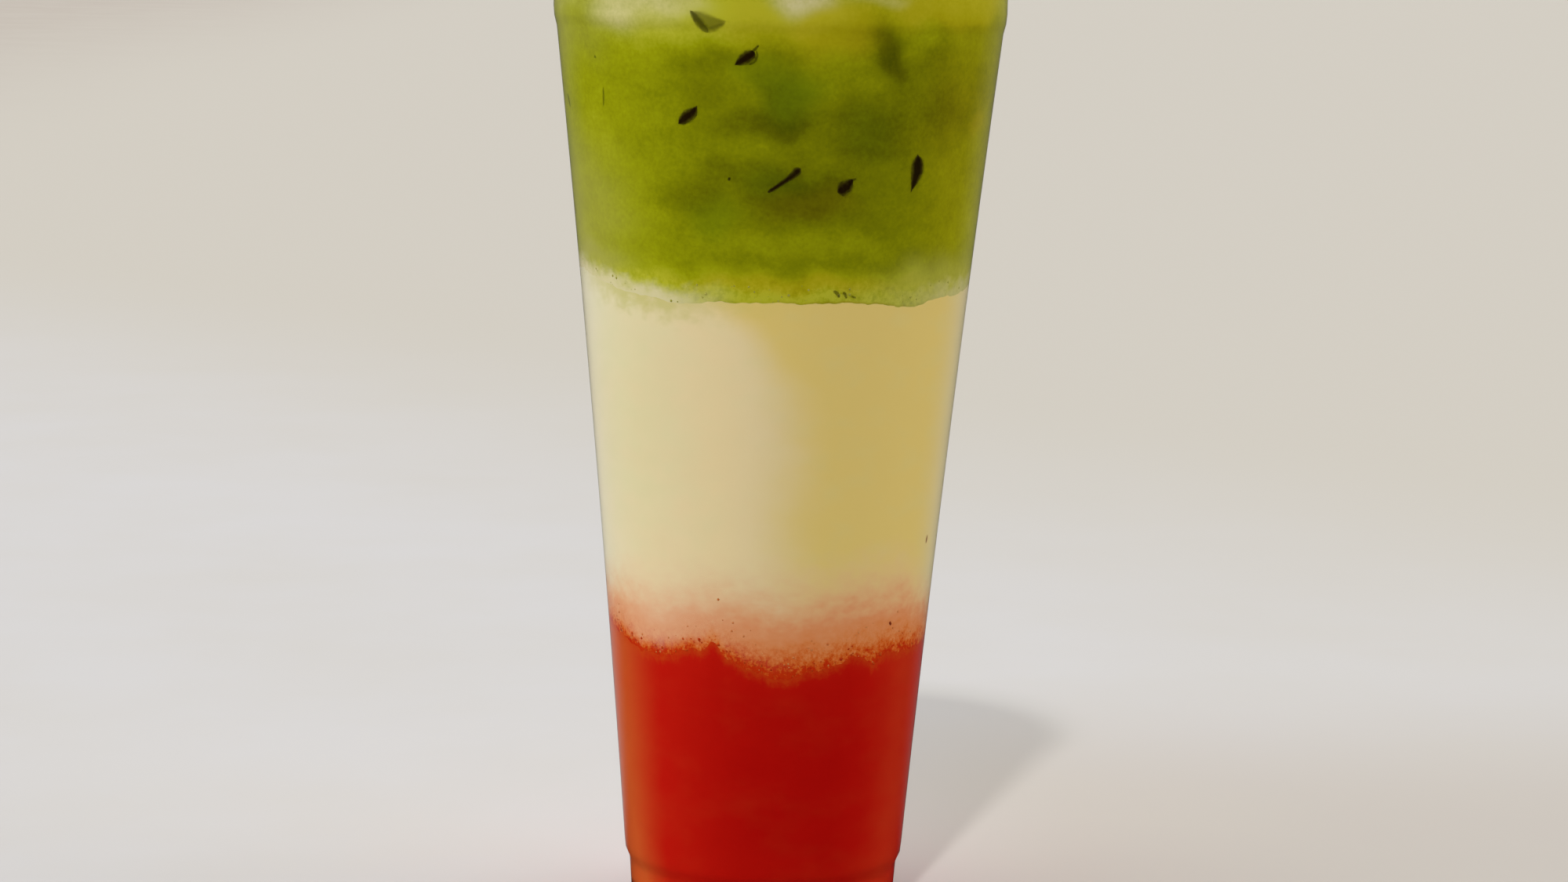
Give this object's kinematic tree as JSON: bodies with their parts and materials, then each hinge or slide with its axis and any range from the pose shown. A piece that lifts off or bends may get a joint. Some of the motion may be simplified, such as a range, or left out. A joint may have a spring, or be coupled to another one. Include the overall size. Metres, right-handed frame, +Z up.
{
  "type": "iced matcha latte in a takeaway cup",
  "caption": "Tall slender clear takeaway cup with a red fruit layer, cream-coloured milk and a green matcha layer with floating ice.",
  "frame": {"origin": "centre of the foot ring, on the surface that the cup stands on", "axes": "+Z up along the cup's axis; the pictured side faces -Y"},
  "size_m": [0.09, 0.09, 0.184],
  "materials": {
    "clear_plastic": "clear glossy moulded plastic",
    "strawberry": "thick red fruit drink seen through the cup",
    "milk": "cream-coloured milk seen through the cup",
    "matcha": "green matcha milk, mottled by sunk ice",
    "ice": "wet, partly melted ice with a cloudy core"
  },
  "bodies": {
    "root": {"cup": "clear_plastic", "strawberry_layer": "strawberry", "milk_layer": "milk", "matcha_layer": "matcha", "ice_1": "ice", "ice_2": "ice", "ice_3": "ice", "ice_4": "ice", "ice_5": "ice", "ice_6": "ice"}
  },
  "joints": []
}
